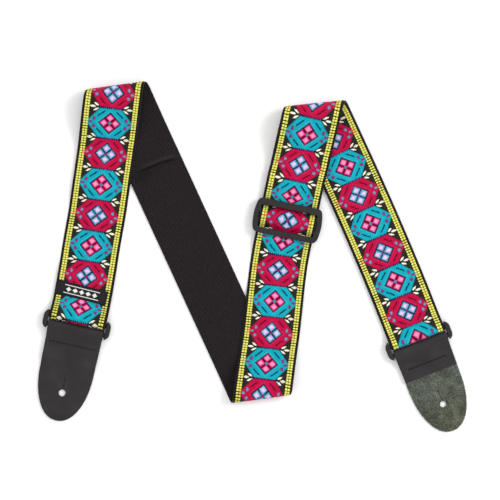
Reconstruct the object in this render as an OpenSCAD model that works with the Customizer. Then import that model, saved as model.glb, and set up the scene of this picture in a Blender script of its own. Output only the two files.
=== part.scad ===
// Guitar strap, laid flat in a zig-zag. Millimetres.
// One 50 mm webbing with a jacquard ribbon sewn on its face, a tri-glide
// slider, two rectangular rings and two folded leather ends.

/* [Strap band] */
// Width of the webbing
band_w = 50; // [38:60]
// Thickness of the webbing
web_t = 1.2; // [0.8:0.1:2]
// Thickness of the jacquard ribbon
rib_t = 0.5; // [0.3:0.1:1]
// Width of the jacquard ribbon
rib_w = 46; // [34:56]
// Bend radius of the top left fold
r1 = 7.5; // [4:0.5:12]
// Bend radius of the bottom fold
r2 = 5.6; // [4:0.5:12]
// Bend radius of the top right fold, middle of the double band
r3 = 8.9; // [6:0.5:12]

/* [Hardware] */
// Diameter of the ring and slider bars
bar_d = 4; // [3:0.5:5]
// Distance between the two bar axes of a ring
ring_pitch = 8.6; // [8.6:0.1:14]
// Overall length of a ring's end blocks
ring_l = 17; // [14:20]
// Overall width of a ring
ring_w = 59.3; // [56:66]
// Overall width of the slider
slider_w = 60; // [56:66]
// Overall length of the slider
slider_l = 30.5; // [26:36]

/* [Leather ends] */
// Thickness of the leather
lea_t = 2; // [1.5:0.1:3]
// Width of the leather at the ring
lea_w = 49; // [40:54]
// Length of the left end from ring centre to tip
lea_l = 85.6; // [70:100]
// How much shorter the right tongue reaches, with its tail on top
lea_d = 1.8; // [0:0.2:4]
// Length of the sewn-down tail from the bar axis
tail = 26.2; // [20:32]
// Diameter of the strap button hole
hole_d = 6.0; // [5:0.1:8]

/* [Hidden] */

T = web_t + rib_t;             // band thickness
gap = 0.1;                     // half gap between stacked bands
ml = T + gap + 0.05;           // height of the middle of a double band
hb = band_w/2;
hr = rib_w/2;
shift = [-1.4776, 0.7371, -0.05];       // puts the bounding box centre on the origin

// crest centre, crest angle, tilt of the crest across the band, side, travel
K1 = [-116.6, 148.3]; a1 = 7.85;  b1 = 16.25;
K2 = [9.1, -124.3];   a2 = 7.975; b2 = 16.1;
K3 = [55.8, 132.6];   a3 = 6.0;   b3 = 18.8;
// ring centres with the heading of the band there, slider centre and heading
RL = [-151.2, -59.6];  hL = 77.7; cL = 0.07;
RR = [146.2, -73.8];   hR = 111.2;
SC = [31.9, 30.9];     hS = 78.2; cS = -0.159;
zb = lea_t + bar_d/2 + 0.4;    // height of the ring bar axes
rb = bar_d/2 + 0.3;            // inner radius of a band looped round a bar
zc = 7.45; rc = 1.7;           // slider centre bar
zs = 3.75;                     // middle of the double band under the slider bars

function dir(a) = [cos(a), sin(a), 0];
function v3(p, z=0) = [p[0], p[1], z];
function sm(t) = let(c = min(1, max(0, t))) c*c*(3 - 2*c);
function unit(v) = v/norm(v);
Z = [0, 0, 1];

// A station is [centre, across vector per mm of width, outward normal].
// Fold record: [crest, angle, tilt, side of the crest, travel sign, radius, lower z, outer thickness]
F1 = [K1, a1, b1, 1, 1, r1, T + 0.05, T];
F2 = [K2, a2, b2, -1, -1, r2, T + 0.05, T];
F3 = [K3, a3, b3, 1, 1, r3, ml, T + gap];
function fn(F) = dir(F[1] + 90*F[3]);
function fk(F) = v3(F[0]) - F[7]*fn(F);
function fpos(F, t, q, z) = fk(F) + dir(F[1])*tan(F[2])*t + fn(F)*q + Z*z;
function facr(F) = dir(F[1])/cos(F[2]);
function f_arc(F, p0, p1, n) = [for (i = [0:n]) let(p = p0 + (p1 - p0)*i/n, r = F[5])
  [fpos(F, -F[4]*r*p*PI/180, r*cos(p) - r, F[6] + r + r*sin(p)), facr(F), fn(F)*cos(p) + Z*sin(p)]];
function f_low(F, d0, d1, n) = [for (i = [0:n]) let(d = d0 + (d1 - d0)*i/n, r = F[5])
  [fpos(F, F[4]*(PI*r/2 + d), -r - d, F[6]), facr(F), -Z]];
// upper leg: drop from the top of the bend to zu over ld, then to zf between e0 and e1
function f_z(F, d, zu, ld, zf, e0, e1) =
  zu + (F[6] + 2*F[5] - zu)*(1 - sm(d/ld)) + (zf - zu)*sm((d - e0)/(e1 - e0));
function f_up(F, d0, d1, n, zu, ld, zf, e0, e1) = [for (i = [0:n])
  let(d = d0 + (d1 - d0)*i/n, r = F[5],
      z = f_z(F, d, zu, ld, zf, e0, e1),
      dz = (f_z(F, d + 0.1, zu, ld, zf, e0, e1) - f_z(F, d - 0.1, zu, ld, zf, e0, e1))/0.2)
  [fpos(F, -F[4]*(PI*r/2 + d), -r - d, z), facr(F), unit(fn(F)*dz + Z)]];
// local run: origin O, heading h, list of [p, z, normal p, normal z]; beyond p0 the
// heading turns by c degrees per mm
function run(O, h, L, c=0, p0=0) = [for (e = L) let(k = c*(e[0] - p0) > 0 ? e[0] - p0 : 0)
  [v3(O) + dir(h)*(e[0] - k) + dir(h + c*k/2)*k + Z*e[1], dir(h + c*k - 90),
   unit(dir(h + c*k)*e[2] + Z*e[3])]];
// flat curved run between two stations with the given headings at height z
function herm(A, hA, B, hB, wA, wB, z, n, s, both=0) =
  let(P = v3(A), Q = v3(B), L = norm(Q - P))
  [for (i = [1 - both : n - 1 + both]) let(t = i/n,
      c = P*(2*t*t*t - 3*t*t + 1) + L*dir(hA)*(t*t*t - 2*t*t + t)
        + Q*(3*t*t - 2*t*t*t) + L*dir(hB)*(t*t*t - t*t),
      g = P*(6*t*t - 6*t) + L*dir(hA)*(3*t*t - 4*t + 1)
        + Q*(6*t - 6*t*t) + L*dir(hB)*(3*t*t - 2*t),
      hd = atan2(g[1], g[0]), w = wA + (wB - wA)*sm(t),
      pe = (hd > 0 ? hd - 90 : hd + 90))
    [c + Z*z, dir(w)/cos(w - pe), s*Z]];

// ring end profiles, p measured from the upper bar axis up the band
function drop(p) = zb + rb - (zb + rb - ml - gap)*sm(p/14);
function top_z(p, e0, e1, zf) = drop(p) + (zf - ml - gap)*sm((p - e0)/(e1 - e0));
function top_run(p0, p1, n, e0, e1, zf) = [for (i = [0:n]) let(p = p0 + (p1 - p0)*i/n,
   dz = (top_z(p + 0.1, e0, e1, zf) - top_z(p - 0.1, e0, e1, zf))/0.2)
   [p, top_z(p, e0, e1, zf), -dz, 1]];
function bar_arc(n) = [for (i = [0:n]) let(q = 90 + 180*i/n) [rb*cos(q), zb + rb*sin(q), cos(q), sin(q)]];
function low_z(p) = ml - gap + (zb - rb - ml + gap)*(1 - sm(p/12));
function low_run(p0, p1, n) = [for (i = [0:n]) let(p = p0 + (p1 - p0)*i/n) [p, low_z(p), 0, -1]];

// slider profiles, y measured from the centre bar up the band
function hump(y) = (zc + rc + 0.2 + T + 0.1 - zs - gap)*(0.5 + 0.5*cos(180*pow(min(1, abs(y)/9.7), 1.15)));
function mid3(y) = zs + (3.9 + 1.75 - zs)*sm((y - 17)/17) - (zs - 0.05 + gap)*sm((-y - 15)/24);
function az(y) = mid3(y) + gap + hump(y);
function a_run(y0, y1, n) = [for (i = [0:n]) let(y = y0 + (y1 - y0)*i/n,
   dz = (az(y + 0.05) - az(y - 0.05))/0.1) [y, az(y), -dz, 1]];
function bz(y) = mid3(y) - gap + hump(y);
function b_run(y0, y1, n) = [for (i = [0:n]) let(y = y0 + (y1 - y0)*i/n,
   dz = (bz(y + 0.05) - bz(y - 0.05))/0.1) [y, bz(y), -dz, 1]];
ro = rc + 0.2 + T;             // outer radius of the return loop
function b_arc(n) = [for (i = [0:n]) let(q = 90 + 180*i/n) [ro*cos(q), zc + ro*sin(q), cos(q), sin(q)]];
function b_tail(n, e) = [for (i = [1:n]) let(y = e*i/n) [y, zc - ro - (zc - ro - 0.05)*sm(y/8), 0, -1]];

OL = v3(RL) + dir(hL)*ring_pitch/2;    // upper bar of the left ring
OR = v3(RR) + dir(hR)*ring_pitch/2;
zu1 = T*2 + 0.15 - T;                  // back of an upper leg resting on a lower one
zu3 = 3.9 + 1.75;                      // middle of the double band on the double band
e1a = 72; e1b = 92; e2a = 74; e2b = 92;

// ---- stations of each length of band ----
s_left_loop = concat(run(OL, hL, bar_arc(20)), run(OL, hL, low_run(2, 36, 8), cL));
q1 = f_up(F1, 0, 92, 24, zu1, 46, 0.05, e1a, e1b);
x1 = q1[24][0];
l1 = run(OL, hL, top_run(0, 56, 22, 37, 54, 0.05), cL);
s_leg_1 = concat(l1, herm(l1[22][0], hL + 56*cL, x1, 90 - 8.4, hL + 56*cL - 90, a1, 0.05, 8, 1),
  [for (i = [24:-1:5]) q1[i]]);
s_fold_1 = concat([for (i = [5:-1:1]) q1[i]], f_arc(F1, 90, -90, 24), f_low(F1, 4, 14, 2));
s_leg_2 = concat(f_low(F1, 14, 20, 1), f_low(F2, 20, 14, 1));
q2 = f_up(F2, 0, 92, 24, zu1, 40, 0.05, e2a, e2b);
s_fold_2 = concat(f_low(F2, 14, 4, 2), f_arc(F2, -90, 90, 24), [for (i = [1:5]) q2[i]]);
m3 = run(SC, hS, a_run(-40, -17, 12), cS, -17);
s_leg_3_lower = concat([for (i = [5:24]) q2[i]],
  herm(q2[24][0], 90 - 8.15, m3[0][0], hS + 3.65, a2, hS + 3.65 - 90, 0.05, 4, 1), m3);
s_hump = run(SC, hS, a_run(-16.7, 16.7, 64));
q3 = f_up(F3, 0, 40, 16, zu3, 38, zu3, 90, 99);
// upper part of leg 3: middle surface of the double band
u3 = [for (y = [17 : 2.8 : 34]) [v3(SC) + dir(hS)*y + Z*mid3(y), dir(hS - 90),
   unit(dir(hS)*(-(mid3(y + 0.1) - mid3(y - 0.1))/0.2) + Z)]];
u3e = v3(SC) + dir(hS)*34.6;
h3 = herm(u3e, hS, q3[16][0], 77.2, hS - 90, a3, zu3, 8, 1, 0);
s_mid_3 = concat(u3, h3, [for (i = [16:-1:6]) q3[i]]);
s_leg_3_upper = s_mid_3;
s_fold_3 = concat([for (i = [6:-1:1]) q3[i]], f_arc(F3, 90, -90, 28), f_low(F3, 4, 12, 2));
w4 = f_low(F3, 12, 36, 4);
p4 = v3(RR) + dir(hR)*(ring_pitch/2 + 16);
s_leg_4 = concat(w4, herm(w4[4][0], -65.15, p4, hR - 180, a3, hR - 90, ml, 16, -1, 0),
  [[p4 + Z*ml, dir(hR - 90), -Z]]);
s_right_loop = concat(run(OR, hR, [for (i = [12:-1:0]) let(e = top_run(0, 16, 12, 90, 99, 0)[i]) e]),
  run(OR, hR, [for (i = [1:19]) bar_arc(20)[i]]), run(OR, hR, low_run(0, 16, 6)));
s_ret_leg_3 = concat(run(SC, hS, []), [for (s = s_mid_3) if (norm([s[0][0] - SC[0], s[0][1] - SC[1]]) > 27) s]);
s_sl_loop = concat(run(SC, hS, [for (i = [34:-1:0]) let(e = b_run(0, 16.7, 34)[i]) e]),
  run(SC, hS, [for (i = [1:20]) b_arc(20)[i]]), run(SC, hS, b_tail(8, 26)));
s_sl_up = concat([for (i = [6:-1:0]) let(e = b_run(16.7, 27, 6)[i]) run(SC, hS, [e])[0]]);

// band solid through stations, between widths and heights
module slab(S, w, h0, h1) {
  n = len(S);
  c = cross(S[0][1], S[0][2]);
  d = S[1][0] - S[0][0];
  f = c*d*(h1 > h0 ? 1 : -1) > 0;
  pts = [for (s = S) each [s[0] - w*s[1] + h0*s[2], s[0] + w*s[1] + h0*s[2],
     s[0] + w*s[1] + h1*s[2], s[0] - w*s[1] + h1*s[2]]];
  sides = [for (i = [0:n - 2]) for (k = [0:3]) let(a = 4*i + k, b = 4*i + (k + 1)%4)
     each [[a, a + 4, b + 4], [a, b + 4, b]]];
  e = 4*(n - 1);
  fs = concat(sides, [[0, 1, 2], [0, 2, 3], [e + 2, e + 1, e], [e + 3, e + 2, e]]);
  translate(shift)
    polyhedron(points = pts, faces = f ? fs : [for (t = fs) [t[2], t[1], t[0]]]);
}
blk = [0.15, 0.14, 0.14];
rib = [0.75, 0.12, 0.32];
module web(S, o=0, s=1) { color(blk) slab(S, hb, s*o, s*(o + web_t)); }
module rbn(S, o=0, s=1) { color(rib) slab(S, hr, s*(o + web_t), s*(o + T)); }

module webbing_left_loop() { web(s_left_loop); }
module webbing_leg_1() { web(s_leg_1); }
module webbing_fold_1() { web(s_fold_1); }
module webbing_leg_2() { web(s_leg_2); }
module webbing_fold_2() { web(s_fold_2); }
module webbing_leg_3_lower() { web(s_leg_3_lower); }
module webbing_slider_hump() { web(s_hump); }
module webbing_leg_3_upper() { web(s_leg_3_upper, gap); }
module webbing_fold_3() { web(s_fold_3, gap); }
module webbing_leg_4() { web(s_leg_4, gap); }
module webbing_right_loop() { web(s_right_loop); }
module webbing_return_leg_4() { web(s_leg_4, gap, -1); }
module webbing_return_fold_3() { web(s_fold_3, gap, -1); }
module webbing_return_leg_3() { web(s_ret_leg_3, gap, -1); }
module webbing_slider_loop() { union() { color(blk) slab(concat(s_sl_up, [for (i = [1:len(s_sl_loop) - 1]) s_sl_loop[i]]), hb, 0, 0 - web_t); } }
module ribbon_left_loop() { rbn(s_left_loop); }
module ribbon_leg_1() { rbn(s_leg_1); }
module ribbon_fold_1() { rbn(s_fold_1); }
module ribbon_leg_2() { rbn(s_leg_2); }
module ribbon_fold_2() { rbn(s_fold_2); }
module ribbon_leg_3_lower() { rbn(s_leg_3_lower); }
module ribbon_slider_hump() { rbn(s_hump); }
module ribbon_leg_3_upper() { rbn(s_leg_3_upper, gap); }
module ribbon_fold_3() { rbn(s_fold_3, gap); }
module ribbon_leg_4() { rbn(s_leg_4, gap); }
module ribbon_right_loop() { rbn(s_right_loop); }
module ribbon_return_leg_4() { rbn(s_leg_4, gap, -1); }
module ribbon_return_fold_3() { rbn(s_fold_3, gap, -1); }
module ribbon_return_leg_3() { rbn(s_ret_leg_3, gap, -1); }
module ribbon_slider_loop() { color(rib) slab(concat(s_sl_up, [for (i = [1:len(s_sl_loop) - 1]) s_sl_loop[i]]), hr, -web_t, -T); }

// local frame at a band point: x across, y up the band
module at(P, h) { translate(v3(P) + shift) rotate([0, 0, h - 90]) children(); }
// thread stitch lying on a surface
module stitch(p, a, l, z) { translate([p[0], p[1], z]) rotate([0, 0, a]) translate([-l/2, -0.35, 0]) cube([l, 0.7, 0.4]); }

zl = ml + gap + T;             // top of the band near the left ring
module label_patch() { color([0.08, 0.08, 0.08]) at(OL, hL) translate([0, 23.8, zl]) rotate([0, 0, -1.7])
  linear_extrude(0.6) offset(r = 0.8) translate([-1.75, 0]) square([43.5, 10.9], center = true); }
module label_stitches() { color([0.05, 0.05, 0.05]) at(OL, hL) translate([0, 23.8, 0]) rotate([0, 0, -1.7])
  for (s = [-1, 1]) for (i = [-6:6]) stitch([i*3.3 - 1.75, s*5.1], 0, 2.2, zl + 0.6); }

// tri-glide: a flat frame with softly bowed ends and a round centre bar level with it
module slider() { color([0.18, 0.17, 0.17]) at(SC, hS) {
  translate([0, 0, zc - 1.75]) linear_extrude(3.5) difference() {
    slider_plan();
    translate([0, -0.4]) offset(r = 2.2) square([45.8, 15.4], center = true);
  }
  translate([0, 0, zc]) rotate([0, 90, 0]) cylinder(r = rc, h = slider_w - 5, center = true, $fn = 48);
} }
module slider_plan() { offset(r = 5) offset(delta = -5) polygon(concat(
  [for (i = [-8:8]) let(t = i/8) [slider_w/2 - 2.4*t*t, t*slider_l/2]],
  [for (i = [8:-1:-8]) let(t = i/8) [-slider_w/2 + 2.4*t*t, t*slider_l/2]])); }
// rectangular ring: two round bars joined by rounded end blocks
module ring() { color([0.18, 0.17, 0.17]) {
  for (s = [-1, 1]) translate([0, s*ring_pitch/2, zb]) rotate([0, 90, 0])
    cylinder(r = bar_d/2, h = ring_w - 5, center = true, $fn = 48);
  for (s = [-1, 1]) difference() {
    translate([0, 0, zb - 2.3]) linear_extrude(4.6) offset(r = 5.5) offset(delta = -5.5)
      square([ring_w, ring_l], center = true);
    translate([-s*100 + s*(ring_w/2 - 4), 0, zb]) cube([200, 60, 20], center = true);
  }
} }
module ring_left() { at(RL, hL) ring(); }
module ring_right() { at(RR, hR) ring(); }

// leather strip folded round the lower bar of a ring; x along the tongue
// side profile: list of [x, z] on the inner face with its normal
function l_off(L, t) = [for (e = L) let(m = norm([e[2], e[3]])) [e[0] + t*e[2]/m, e[1] + t*e[3]/m]];
function lt_z(x) = lea_t + 0.15 + (zb + rb - lea_t - 0.15)*(1 - sm(x/11.5)) - (lea_t + 0.1)*sm((x - tail - 0.6)/9);
function lb_z(x) = lea_t + 0.05 + (zb - rb - lea_t - 0.05)*(1 - sm(x/9));
lx = lea_l - ring_pitch/2 + 0.5;
rx = lx - lea_d;
l_top = [for (i = [0:60]) let(x = lx*(60 - i)/60) [x, lt_z(x), -(lt_z(x + 0.1) - lt_z(x - 0.1))/0.2, 1]];
l_arc = [for (i = [1:19]) let(q = 90 + 9*i) [rb*cos(q), zb + rb*sin(q), cos(q), sin(q)]];
l_bot = [for (i = [0:8]) let(x = tail*i/8) [x, lb_z(x), 0, -1]];
r_top = [for (i = [8:-1:0]) let(x = tail*i/8) [x, lt_z(x), -(lt_z(x + 0.1) - lt_z(x - 0.1))/0.2, 1]];
r_bot = [for (i = [0:30]) let(x = rx*i/30) [x, lb_z(x), 0, -1]];
module l_side(L) { rotate([90, 0, 0]) linear_extrude(80, center = true)
  polygon(concat([for (e = L) [e[0], e[1]]], [for (i = [len(L) - 1:-1:0]) l_off(L, lea_t)[i]])); }
// plan of the tongue: straight taper, then a rounded point
module l_plan(d) {
  tip = lea_l - ring_pitch/2 - d; m = 44;
  linear_extrude(60, center = true) polygon(concat(
    [[-9, lea_w/2], [tip - m, lea_w/2 - 0.8]],
    [for (i = [1:39]) let(q = 90*i/40) [tip - m + m*sin(q), (lea_w/2 - 0.8)*pow(cos(q), 0.92)]], [[tip, 0]],
    [for (i = [39:-1:1]) let(q = 90*i/40) [tip - m + m*sin(q), -(lea_w/2 - 0.8)*pow(cos(q), 0.92)]],
    [[tip - m, -lea_w/2 + 0.8], [-9, -lea_w/2]]));
}
hx = lea_l - ring_pitch/2 - 24.5;      // hole centre from the lower bar axis
module leather(L, d) { color([0.16, 0.15, 0.15]) difference() {
  intersection() { l_side(L); l_plan(d); }
  translate([hx - d, 0, -1]) cylinder(d = hole_d, h = 8, $fn = 64);
  translate([hx - d - 14, -0.35, -1]) cube([12, 0.7, 8]);
} }
module lat(P, h) { at(P, h) translate([0, -ring_pitch/2, 0]) rotate([0, 0, -90]) children(); }
module leather_left() { lat(RL, hL) leather(concat(l_top, l_arc, l_bot), 0); }
module leather_right() { lat(RR, hR) leather(concat(r_top, l_arc, r_bot), lea_d); }
module leather_stitches_left() { color([0.07, 0.07, 0.07]) lat(RL, hL)
  for (i = [-5:5]) stitch([14.2, i*3.7], 62, 4.2, lt_z(14.2) + lea_t); }
module leather_stitches_right() { color([0.07, 0.07, 0.07]) lat(RR, hR)
  for (i = [-5:5]) stitch([15.9, i*3.1], 62, 4.2, lt_z(15.9) + lea_t); }
module return_stitches() { color([0.07, 0.07, 0.07]) at(SC, hS)
  for (i = [-5:5]) translate([i*4.1, 20.3, 1.83]) cube([2.6, 0.6, 0.15], center = true); }

webbing_left_loop();
webbing_leg_1();
webbing_fold_1();
webbing_leg_2();
webbing_fold_2();
webbing_leg_3_lower();
webbing_slider_hump();
webbing_leg_3_upper();
webbing_fold_3();
webbing_leg_4();
webbing_right_loop();
webbing_return_leg_4();
webbing_return_fold_3();
webbing_return_leg_3();
webbing_slider_loop();
ribbon_left_loop();
ribbon_leg_1();
ribbon_fold_1();
ribbon_leg_2();
ribbon_fold_2();
ribbon_leg_3_lower();
ribbon_slider_hump();
ribbon_leg_3_upper();
ribbon_fold_3();
ribbon_leg_4();
ribbon_right_loop();
ribbon_return_leg_4();
ribbon_return_fold_3();
ribbon_return_leg_3();
ribbon_slider_loop();
label_patch();
label_stitches();
slider();
ring_left();
ring_right();
leather_left();
leather_right();
leather_stitches_left();
leather_stitches_right();
return_stitches();
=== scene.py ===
# Guitar strap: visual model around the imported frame. All lengths in mm here, scaled to metres on output.
import math
import bpy
import bmesh
import numpy as np
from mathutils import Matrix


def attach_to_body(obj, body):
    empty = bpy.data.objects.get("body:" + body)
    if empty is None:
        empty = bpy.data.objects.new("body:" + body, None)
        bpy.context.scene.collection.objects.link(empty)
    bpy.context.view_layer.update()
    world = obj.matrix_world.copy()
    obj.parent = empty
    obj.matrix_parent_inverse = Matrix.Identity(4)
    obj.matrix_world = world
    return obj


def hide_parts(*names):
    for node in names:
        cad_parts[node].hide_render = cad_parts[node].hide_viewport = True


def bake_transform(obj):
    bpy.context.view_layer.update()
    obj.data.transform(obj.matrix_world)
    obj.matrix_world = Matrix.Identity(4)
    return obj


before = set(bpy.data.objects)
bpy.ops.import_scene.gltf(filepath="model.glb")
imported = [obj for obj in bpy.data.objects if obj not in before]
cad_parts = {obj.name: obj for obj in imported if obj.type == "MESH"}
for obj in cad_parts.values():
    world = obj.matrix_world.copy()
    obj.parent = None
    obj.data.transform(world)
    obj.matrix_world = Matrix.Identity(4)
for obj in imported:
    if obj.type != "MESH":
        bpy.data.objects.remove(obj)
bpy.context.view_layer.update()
MM = 0.001
rng = np.random.default_rng(7)

# ------------------------------------------------------------------ band path (same formulas as the CAD)
WEB, RIB = 1.2, 0.5
T = WEB + RIB
GAP = 0.1
ML = T + GAP + 0.05
PITCH, LEA, TAIL = 8.6, 2.0, 26.2
SHIFT = np.array([-1.4776, 0.7371, -0.05])
K1, A1, B1, R1 = (-116.6, 148.3), 7.85, 16.25, 7.5
K2, A2, B2, R2 = (9.1, -124.3), 7.975, 16.1, 5.6
K3, A3, B3, R3 = (55.8, 132.6), 6.0, 18.8, 8.9
RL, HL, CL = (-151.2, -59.6), 77.7, 0.07
RR, HR = (146.2, -73.8), 111.2
SC, HS, CS = (31.9, 30.9), 78.2, -0.159
ZB, RB = LEA + 2.0 + 0.4, 2.3
ZC, RC, ZS = 7.45, 1.7, 3.75
RO = RC + 0.2 + T
Z = np.array([0, 0, 1.0])


def cd(a):
    return math.cos(math.radians(a))


def sd(a):
    return math.sin(math.radians(a))


def dr(a):
    return np.array([cd(a), sd(a), 0.0])


def v3(p, z=0.0):
    return np.array([p[0], p[1], z], float)


def sm(t):
    c = min(1.0, max(0.0, t))
    return c * c * (3 - 2 * c)


def unit(v):
    return v / np.linalg.norm(v)


F1 = (K1, A1, B1, 1, 1, R1, T + 0.05, T)
F2 = (K2, A2, B2, -1, -1, R2, T + 0.05, T)
F3 = (K3, A3, B3, 1, 1, R3, ML, T + GAP)


def fnrm(F):
    return dr(F[1] + 90 * F[3])


def fpos(F, t, q, z):
    return v3(F[0]) - F[7] * fnrm(F) + dr(F[1]) * math.tan(math.radians(F[2])) * t + fnrm(F) * q + Z * z


def facr(F):
    return dr(F[1]) / cd(F[2])


def lin(a, b, n):
    return [a + (b - a) * i / n for i in range(n + 1)]


def f_arc(F, p0, p1, n):
    r = F[5]
    return [(fpos(F, -F[4] * r * math.radians(p), r * cd(p) - r, F[6] + r + r * sd(p)), facr(F), fnrm(F) * cd(p) + Z * sd(p)) for p in lin(p0, p1, n)]


def f_low(F, d0, d1, n):
    r = F[5]
    return [(fpos(F, F[4] * (math.pi * r / 2 + d), -r - d, F[6]), facr(F), -Z) for d in lin(d0, d1, n)]


def f_z(F, d, zu, ld, zf, e0, e1):
    return zu + (F[6] + 2 * F[5] - zu) * (1 - sm(d / ld)) + (zf - zu) * sm((d - e0) / (e1 - e0))


def f_up(F, d0, d1, n, *a):
    o = []
    for d in lin(d0, d1, n):
        dz = (f_z(F, d + 0.1, *a) - f_z(F, d - 0.1, *a)) / 0.2
        o.append((fpos(F, -F[4] * (math.pi * F[5] / 2 + d), -F[5] - d, f_z(F, d, *a)), facr(F), unit(fnrm(F) * dz + Z)))
    return o


def run(O, h, L, c=0.0, p0=0.0):
    o = []
    for e in L:
        k = e[0] - p0 if c * (e[0] - p0) > 0 else 0.0
        o.append((v3(O) + dr(h) * (e[0] - k) + dr(h + c * k / 2) * k + Z * e[1], dr(h + c * k - 90), unit(dr(h + c * k) * e[2] + Z * e[3])))
    return o


def herm(A, hA, B, hB, wA, wB, z, n, s):
    P, Q = v3(A), v3(B)
    L = np.linalg.norm(Q - P)
    o = []
    for i in range(1, n):
        t = i / n
        c = P * (2 * t**3 - 3 * t * t + 1) + L * dr(hA) * (t**3 - 2 * t * t + t) + Q * (3 * t * t - 2 * t**3) + L * dr(hB) * (t**3 - t * t)
        g = P * (6 * t * t - 6 * t) + L * dr(hA) * (3 * t * t - 4 * t + 1) + Q * (6 * t - 6 * t * t) + L * dr(hB) * (3 * t * t - 2 * t)
        hd = math.degrees(math.atan2(g[1], g[0]))
        w = wA + (wB - wA) * sm(t)
        pe = hd - 90 if hd > 0 else hd + 90
        o.append((c + Z * z, dr(w) / cd(w - pe), s * Z))
    return o


def relax(st, a, b, n):
    # one long gentle curve in place of the short bend between stations a and b
    Q = np.array([e[0] for e in st[a:b + 1]])
    d = np.concatenate([[0], np.cumsum(np.linalg.norm(np.diff(Q[:, :2], axis=0), axis=1))])
    ang = lambda v: math.degrees(math.atan2(v[1], v[0]))
    new = herm(Q[0], ang(Q[0] - st[a - 1][0]), Q[-1], ang(st[b + 1][0] - Q[-1]), ang(st[a][1]), ang(st[b][1]), 0.0, n, 1)
    P = np.array([Q[0]] + [e[0] for e in new] + [Q[-1]])
    P[:, 2] = 0
    g = np.concatenate([[0], np.cumsum(np.linalg.norm(np.diff(P, axis=0), axis=1))])
    g *= d[-1] / g[-1]
    z = np.interp(g, d, Q[:, 2])
    sl = np.gradient(z, g)
    o = [(P[i] + Z * z[i], new[i - 1][1], unit(Z - unit(P[i + 1] - P[i - 1]) * sl[i])) for i in range(1, n)]
    return st[:a + 1] + o + st[b:]


def drop(p):
    return ZB + RB - (ZB + RB - ML - GAP) * sm(p / 14)


def top_z(p, e0, e1, zf):
    return drop(p) + (zf - ML - GAP) * sm((p - e0) / (e1 - e0))


def top_run(p0, p1, n, *a):
    return [(p, top_z(p, *a), -(top_z(p + 0.1, *a) - top_z(p - 0.1, *a)) / 0.2, 1) for p in lin(p0, p1, n)]


def bar_arc(n):
    return [(RB * cd(q), ZB + RB * sd(q), cd(q), sd(q)) for q in lin(90, 270, n)]


def low_z(p):
    return ML - GAP + (ZB - RB - ML + GAP) * (1 - sm(p / 12))


def low_run(p0, p1, n):
    return [(p, low_z(p), 0, -1) for p in lin(p0, p1, n)]


def hump(y):
    return (ZC + RC + 0.2 + T + 0.1 - ZS - GAP) * (0.5 + 0.5 * cd(180 * min(1, abs(y) / 9.7) ** 1.15))


def mid3(y):
    return ZS + (5.65 - ZS) * sm((y - 17) / 17) - (ZS - 0.05 + GAP) * sm((-y - 15) / 24)


def y_run(y0, y1, n, off):
    f = lambda y: mid3(y) + off + hump(y)
    return [(y, f(y), -(f(y + 0.05) - f(y - 0.05)) / 0.1, 1) for y in lin(y0, y1, n)]


def b_arc(n):
    return [(RO * cd(q), ZC + RO * sd(q), cd(q), sd(q)) for q in lin(90, 270, n)]


def b_tail(n, e):
    return [(y, ZC - RO - (ZC - RO - 0.05) * sm(y / 8), 0, -1) for y in lin(0, e, n)]


# sections of the one continuous band: (name, stations, side of the stations' normal, offset along it)
OL = v3(RL) + dr(HL) * PITCH / 2
OR = v3(RR) + dr(HR) * PITCH / 2
SEC = []
q1 = f_up(F1, 0, 92, 92, 1.85, 46, 0.05, 72, 92)
l1 = run(OL, HL, top_run(0, 56, 80, 37, 54, 0.05), CL)
q2 = f_up(F2, 0, 92, 92, 1.85, 40, 0.05, 74, 92)
m3 = run(SC, HS, y_run(-40, -16.7, 30, GAP), CS, -17)
q3 = f_up(F3, 0, 40, 50, 5.65, 38, 5.65, 90, 99)
u3 = run(SC, HS, [(e[0], e[1] - GAP, e[2], e[3]) for e in y_run(16.7, 34.6, 16, GAP)])
h3 = herm(u3[-1][0], HS, q3[-1][0], 77.2, HS - 90, A3, 5.65, 14, 1)
# herm works in the plane; its end heights are both 5.65
h3 = [(np.array([c[0], c[1], 5.65]), w, n) for c, w, n in h3]
mid = u3 + h3 + q3[::-1][:-12]
w4 = f_low(F3, 12, 36, 12)
p4 = v3(RR) + dr(HR) * (PITCH / 2 + 16)
l4 = w4 + [(np.array([c[0], c[1], ML]), w, n) for c, w, n in herm(w4[-1][0], -65.15, p4, HR - 180, A3, HR - 90, ML, 80, -1)] + [(p4 + Z * ML, dr(HR - 90), -Z)]
hm1 = [(np.array([c[0], c[1], 0.05]), w, n) for c, w, n in herm(l1[-1][0], HL + 56 * CL, q1[-1][0], 81.6, HL + 56 * CL - 90, A1, 0.05, 30, 1)]
hm3 = [(np.array([c[0], c[1], 0.05]), w, n) for c, w, n in herm(q2[-1][0], 81.85, m3[0][0], HS + 3.65, A2, HS + 3.65 - 90, 0.05, 12, 1)]
f3 = q3[:12][::-1] + f_arc(F3, 90, -90, 60)[1:] + f_low(F3, 1, 12, 6)
SEC.append(("left_loop", run(OL, HL, low_run(0, 36, 40)[::-1], CL) + run(OL, HL, bar_arc(30)[::-1][1:]), 1, 0.0))
SEC.append(("leg_1", l1 + hm1 + q1[::-1][:-18], 1, 0.0))
SEC.append(("fold_1", q1[:19][::-1] + f_arc(F1, 90, -90, 60)[1:] + f_low(F1, 1, 14, 6), 1, 0.0))
SEC.append(("leg_2", f_low(F1, 14, 24, 4) + f_low(F2, 24, 14, 4), 1, 0.0))
SEC.append(("fold_2", f_low(F2, 14, 1, 6) + f_arc(F2, -90, 90, 60) + q2[1:19], 1, 0.0))
low3 = q2[18:] + hm3 + m3
SEC.append(("leg_3_lower", relax(low3, 22, len(low3) - 12, 64), 1, 0.0))
SEC.append(("slider_hump", run(SC, HS, y_run(-16.7, 16.7, 90, GAP)), 1, 0.0))
SEC.append(("leg_3_upper", mid, 1, GAP))
SEC.append(("fold_3", f3, 1, GAP))
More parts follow.
